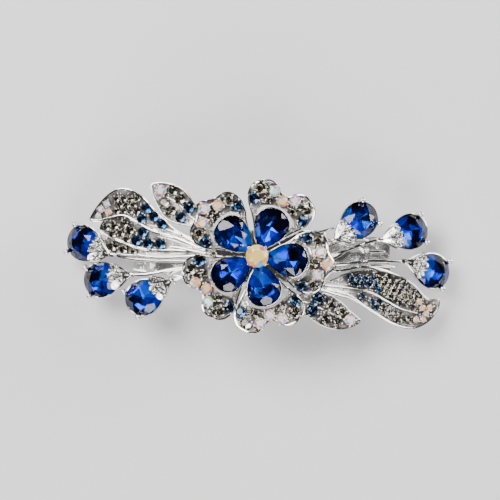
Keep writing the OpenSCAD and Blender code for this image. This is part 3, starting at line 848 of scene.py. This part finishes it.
def collarMaster(name):
    # the cast seat round a stone's back
    deselectAll()
    bpy.ops.mesh.primitive_cylinder_add(vertices=16, radius=1.10 * mm, depth=0.46 * mm,
                                        location=(0, 0, 0.23 * mm))
    seat = bpy.context.object
    seat.name = name
    editAll(seat, "FACE")
    bpy.ops.mesh.select_all(action="DESELECT")
    objectMode()
    for face in seat.data.polygons:
        face.select = face.normal.z > 0.9
    bpy.ops.object.mode_set(mode="EDIT")
    bpy.ops.mesh.inset(thickness=0.08 * mm)
    bpy.ops.transform.translate(value=(0, 0, -0.30 * mm))
    objectMode()
    smoothBy(seat, 50)
    return seat


bead = grainMaster("beadMaster")
curlBalls = [placed(bead, onFace(x, y, z), Vector((0, 0, 1)), 0, size)
             for x, y, z, size in [(27.2, 1.5, 17.2, 0.72), (29.9, 2.2, 16.3, 0.6), (-21.0, -6.6, 16.0, 0.6)]]
wireCurls = joined(curlPieces + curlBalls, "wireCurls")
finishPiece(wireCurls, "clip", (silverWire,), ())
print("veins and curls made")
seat = collarMaster("seatMaster")
stoneNodes = {
    "petal_aurora_stones": ("petalAuroraStones", "aurora"),
    "petal_smoke_stones": ("petalSmokeStones", "smoke"),
    "petal_navy_stones": ("petalNavyStones", "navy"),
    "leaf_aurora_stones": ("leafAuroraStones", "aurora"),
    "leaf_smoke_stones": ("leafSmokeStones", "smoke"),
    "leaf_navy_stones": ("leafNavyStones", "navy"),
    "bud_clear_stones": ("budClearStones", "clear"),
}
dice = random.Random(5)
metalBits = {"petal": [], "leaf": [], "bud": []}
for node, (name, kind) in stoneNodes.items():
    copies = []
    for foot, axis, radius in stonePlaces(node):
        foot, axis = settled(foot, axis)
        master = dice.choice(masters["azure" if kind == "navy" and foot.x > azureFrom else kind])
        copies.append(placed(master, foot, axis, dice.random() * 6.28, radius / mm))
        area = name[:3] if name.startswith("bud") else "petal" if name.startswith("petal") else "leaf"
        metalBits[area].append(placed(seat, foot, axis, 0, radius / mm))
        around = dice.random() * 1.5
        for k in range(4 if radius > 0.9 * mm else 3):
            turn = around + k * 2 * math.pi / (4 if radius > 0.9 * mm else 3)
            side = axis.orthogonal().normalized()
            side.rotate(Matrix.Rotation(turn, 3, axis))
            spot = foot + side * radius * grainLook["reach"] + axis * radius * grainLook["height"]
            metalBits[area].append(placed(bead, spot, axis, 0, radius / mm * grainLook["size"]))
    group = joined(copies, name)
    marks = [face.material_index for face in group.data.polygons]
    finishPiece(group, "clip", (crowns[kind], plainFoil), (node,))
    for face, mark in zip(group.data.polygons, marks):
        face.material_index = mark
for area, bits in metalBits.items():
    group = joined(bits, f"{area}StoneSeats")
    finishPiece(group, "clip", (silver,), ())
print("round stones set")


# ---- calyx lobes over the roots of the bud stones ----

lobeLook = {"reach": 5.3 * mm, "width": 2.3 * mm, "height": 1.05 * mm, "sink": 0.78 * mm, "root": -0.35 * mm,
            "beads": 9, "bead": 0.17}


def lobeMaster(name):
    # a rounded finger, narrow at its root and full at its tip
    look = lobeLook
    deselectAll()
    bpy.ops.mesh.primitive_cube_add(size=1, location=(look["reach"] / 2, 0, 0))
    lobe = bpy.context.object
    lobe.name = name
    bpy.ops.object.transform_apply(location=True, rotation=False, scale=False)
    editAll(lobe)
    bpy.ops.mesh.subdivide(number_cuts=2)
    objectMode()
    for point in lobe.data.vertices:
        along = (point.co.x - look["reach"] / 2 + 0.5)
        full = 0.62 + 0.38 * math.sin(math.pi * min(max(along, 0), 1) * 0.72)
        point.co.x = along * look["reach"]
        point.co.y *= look["width"] * full * 1.12
        point.co.z *= look["height"] * full * 1.12
    finishWith(lobe, "SUBSURF", levels=2, render_levels=2)
    smoothBy(lobe, 80)
    return lobe


lobe = lobeMaster("lobeMaster")
chipPlaces = stonePlaces("bud_clear_stones")
lobeBits = []
for foot, axis, radius in chipPlaces:
    if radius < 0.52 * mm:
        continue
    # the widest chip stands at a finger's tip; its nearest 0.48 mm neighbour gives the finger's direction
    near = [spot for spot, way, size in chipPlaces
            if abs(size - 0.48 * mm) < 0.02 * mm and (way - axis).length < 0.02]
    back = min(near, key=lambda spot: (spot - foot).length)
    along = (foot - back).normalized()
    side = axis.cross(along).normalized()
    turn = Matrix((along, side, axis)).transposed().to_4x4()
    turn.translation = foot - along * 4.3 * mm - axis * lobeLook["sink"] / 2 + along * lobeLook["root"]
    twin = copyOf(lobe, "lobe")
    twin.data.transform(turn)
    lobeBits.append(twin)
    for k in range(lobeLook["beads"]):
        share = (k + 0.5) / lobeLook["beads"]
        for way in (-1, 1):
            spot = foot + along * (share * 3.9 - 3.1) * mm
            spot = spot + side * way * (0.52 + 0.34 * share) * mm + axis * 0.12 * mm
            lobeBits.append(placed(bead, spot, axis, 0, lobeLook["bead"]))


def ferruleStuds(k):
    # grains over the cone behind a bud stone, and the solder that joins the cone to its stem
    look = ferruleLook
    turn, length, width, height = crystalPlace(f"bud_crystal_{k}", Vector((0, 0, 0.012)))
    bits = []
    for row in range(look["rows"]):
        back = look["start"] + row * look["pitch"]
        girth = look["girth"] - look["taper"] * back
        for column in range(look["columns"]):
            lean = math.radians(look["spread"]) * (2 * column / (look["columns"] - 1) - 1)
            spot = turn @ Vector((-back, girth * math.sin(lean), look["axis"] + girth * math.cos(lean)))
            bits.append(placed(bead, spot, turn.col[2].xyz, 0, lobeLook["bead"]))
    stems = stemPoints["bud_stems_left" if k < 4 else "bud_stems_right"]
    mouth = turn @ Vector((-look["mouth"], 0, look["axis"]))
    near = stems[np.argsort(np.linalg.norm(stems - np.array(mouth), axis=1))[:8]].mean(axis=0)
    end = Vector(near)
    into = turn.col[0].xyz * look["overlap"]
    back = (end - mouth).normalized() * look["overlap"]
    line = smoothLine([end + back, end, mouth, mouth + into], 3)
    bits.append(sweptTube("solder", line, look["solder"], 10))
    return bits


ferruleLook = {"rows": 5, "columns": 5, "start": 0.45 * mm, "pitch": 0.40 * mm,
               "girth": 1.28 * mm, "taper": 0.22, "spread": 70, "axis": 0.7 * mm, "mouth": 2.5 * mm,
               "overlap": 0.45 * mm,
               "solder": (0.60 * mm, 0.76 * mm)}
stemPoints = {node: meshOf(node)[0] for node in ("bud_stems_left", "bud_stems_right")}
for k in range(1, 7):
    lobeBits += ferruleStuds(k)
budLobes = joined(lobeBits, "budCalyxLobes")
finishPiece(budLobes, "clip", (silver,), ())
print("calyx lobes made")


# ---- blue crystals ----

# facet tones of a blue crystal's back: its own blue with painted glints and painted dark reflections
blueTones = [(0.02, 0.04, 0.20), (0.01, 0.01, 0.07), (0.05, 0.22, 0.95), (0.02, 0.08, 0.45),
             (0.40, 0.80, 1.0), (0.01, 0.02, 0.12), (0.12, 0.45, 1.0)]

# painted highlight and painted shade on a drop's back: brightness of its facets at each end, and the shares
# of its length between which it fades
dropPaintedLight = {"outer": 0.2, "inner": 3.0, "from": 0.30, "to": 0.72}


def dropStone(name, node, tipNear, blunt, seed):
    turn, length, width, height = crystalPlace(node, tipNear)
    rings = [(4, 0.10, 0.05 * mm, 0.5), (8, 0.58, 0.52 * mm, 0.0), (16, 1.0, 1.35 * mm, 0.5),
             (16, 1.0, 1.52 * mm, 0.5), (8, 0.80, 2.35 * mm, 0.5), (8, 0.54, height, 0.0)]
    stone = cutStone(name, rings, lambda share, angle: dropShape(share, angle, length, width, blunt))
    toneFacets(stone, blueTones, seed, 1.36 * mm)
    # a painted highlight brightens the back towards the point of the drop and painted shade darkens it
    # towards its round end
    layer = stone.data.color_attributes["facetTone"]
    for face in stone.data.polygons:
        share = face.center.x / length
        inner = 1 - ramp(share, dropPaintedLight["from"], dropPaintedLight["to"])
        glow = dropPaintedLight["outer"] + dropPaintedLight["inner"] * inner
        for loop in face.loop_indices:
            colour = layer.data[loop].color
            layer.data[loop].color = (colour[0] * glow, colour[1] * glow, colour[2] * glow, inner)
    stone.data.transform(turn)
    marks = [face.material_index for face in stone.data.polygons]
    finishPiece(stone, "clip", (sapphireCrown, sapphireFoil), (node,))
    for face, mark in zip(stone.data.polygons, marks):
        face.material_index = mark
    return stone


for k in range(1, 6):
    dropStone(f"flowerCrystal{k}", f"flower_crystal_{k}", flowerAxis, 0.85, 40 + k)
for k in range(1, 7):
    dropStone(f"budCrystal{k}", f"bud_crystal_{k}", Vector((0, 0, 0.012)), 0.35, 60 + k)
print("blue crystals made")

centreFoot, centreAxis, centreRadius = stonePlaces("centre_stone")[0]
centreTones = [(0.80, 0.60, 0.12), (0.80, 0.12, 0.24), (0.12, 0.42, 0.78), (0.80, 0.70, 0.36),
               (0.84, 0.36, 0.03)]
centreTable = (0.80, 0.60, 0.16)
centreMaster = roundMaster("centreMaster", 1 * mm, centreTones, 9)
toneTable(centreMaster, centreTable)
centre = placed(centreMaster, centreFoot, centreAxis, 0.2, centreRadius / mm)
centre.name = "centreStone"
marks = [face.material_index for face in centre.data.polygons]
finishPiece(centre, "clip", (auroraCrown, plainFoil), ("centre_stone",))
for face, mark in zip(centre.data.polygons, marks):
    face.material_index = mark


# ---- cups, buds, stems and hardware from the frame ----

def edgedCopy(node, name, width, material, body="clip", segments=2, angle=35):
    piece = mergedCopy(node, name)
    finishWith(piece, "BEVEL", width=width, segments=segments, limit_method="ANGLE",
               angle_limit=math.radians(angle))
    smoothBy(piece, 40)
    finishPiece(piece, body, (material,), (node,))
    return piece


def roundedCopy(node, name, material, body="clip", levels=2):
    piece = mergedCopy(node, name, flatten=False)
    editAll(piece)
    bpy.ops.mesh.tris_convert_to_quads(face_threshold=math.radians(40), shape_threshold=math.radians(40))
    objectMode()
    finishWith(piece, "SUBSURF", levels=levels, render_levels=levels)
    smoothBy(piece, 60)
    finishPiece(piece, body, (material,), (node,))
    return piece


for k in range(1, 6):
    edgedCopy(f"crystal_cup_{k}", f"crystalCup{k}", 0.10 * mm, silver)
for k in range(1, 7):
    edgedCopy(f"bud_setting_{k}", f"budSetting{k}", 0.10 * mm, silver)
edgedCopy("centre_cup", "centreCup", 0.10 * mm, silver)
edgedCopy("flower_post", "flowerPost", 0.10 * mm, silver)
edgedCopy("flower_disc", "flowerDisc", 0.12 * mm, silver)
edgedCopy("solder_posts", "solderPosts", 0.08 * mm, silver)
edgedCopy("mounting_plate", "mountingPlate", 0.15 * mm, silver)
edgedCopy("mounting_rivets", "mountingRivets", 0.12 * mm, silver)
roundedCopy("bud_stems_left", "budStemsLeft", silverWire)
roundedCopy("bud_stems_right", "budStemsRight", silverWire)
roundedCopy("wire_spray_left", "wireSprayLeft", silverWire)
roundedCopy("wire_spray_right", "wireSprayRight", silverWire)
edgedCopy("base_plate", "basePlate", 0.14 * mm, springSteel, "clip")
edgedCopy("hinge_pin", "hingePin", 0.10 * mm, springSteel, "clip")
edgedCopy("catch_frame", "catchFrame", 0.12 * mm, springSteel, "clip")
edgedCopy("catch_rivets", "catchRivets", 0.10 * mm, springSteel, "clip")
edgedCopy("pinch_tab_front", "frontPinchTab", 0.10 * mm, springSteel, "front_tab")
edgedCopy("pinch_tab_rear", "rearPinchTab", 0.10 * mm, springSteel, "rear_tab")
roundedCopy("clasp_arm", "claspArm", wireSteel, "arm", 1)
print("cups, stems and hardware made")

for master in [bead, seat, lobe, centreMaster] + [item for group in masters.values() for item in group]:
    bpy.data.objects.remove(master, do_unlink=True)


# ---- floor, light and camera ----

floorLook = {"size": 3.0, "ground": 0.0}
deselectAll()
bpy.ops.mesh.primitive_plane_add(size=floorLook["size"], location=(0, 0, floorLook["ground"]))
floor = bpy.context.object
floor.name = "floor"
editAll(floor, "FACE")
bpy.ops.mesh.subdivide(number_cuts=3)
objectMode()
floor.data.materials.append(floorMaterial("paleFloor"))

lights = {
    "keySoftbox": {"at": (-0.45, 0.45, 0.75), "size": 0.62, "power": 17.0, "colour": (1.0, 0.985, 0.97)},
    "rimSoftbox": {"at": (0.80, 0.35, 0.30), "size": 0.50, "power": 11.0, "colour": (0.96, 0.98, 1.0)},
    "frontSoftbox": {"at": (0.05, -0.75, 0.55), "size": 0.55, "power": 9.0, "colour": (1.0, 0.99, 0.98)},
    "topSpark": {"at": (0.36, 0.34, 0.70), "size": 0.05, "power": 0.5, "colour": (1.0, 1.0, 1.0)},
    "sideSpark": {"at": (-0.55, -0.25, 0.55), "size": 0.05, "power": 0.5, "colour": (1.0, 1.0, 1.0)},
}
for name, look in lights.items():
    data = bpy.data.lights.new(name, "AREA")
    data.shape = "SQUARE"
    data.size = look["size"]
    data.energy = look["power"]
    data.color = look["colour"]
    lamp = bpy.data.objects.new(name, data)
    bpy.context.scene.collection.objects.link(lamp)
    lamp.location = look["at"]
    lamp.rotation_euler = (Vector((0, 0, 0.012)) - lamp.location).to_track_quat("-Z", "Y").to_euler()

world = bpy.data.worlds.new("studio")
world.use_nodes = True
world.node_tree.nodes["Background"].inputs[0].default_value = (0.52, 0.53, 0.55, 1)
world.node_tree.nodes["Background"].inputs[1].default_value = 0.10
bpy.context.scene.world = world

cameraLook = {"lens": 200.0, "height": 0.710, "x": -0.00205, "y": 0.00158}
cameraData = bpy.data.cameras.new("studioCamera")
cameraData.lens = cameraLook["lens"]
cameraData.sensor_width = 36.0
cameraData.clip_start = 0.01
cameraData.clip_end = 20
camera = bpy.data.objects.new("studioCamera", cameraData)
bpy.context.scene.collection.objects.link(camera)
camera.location = (cameraLook["x"], cameraLook["y"], cameraLook["height"])
bpy.context.scene.camera = camera
print("stage set")
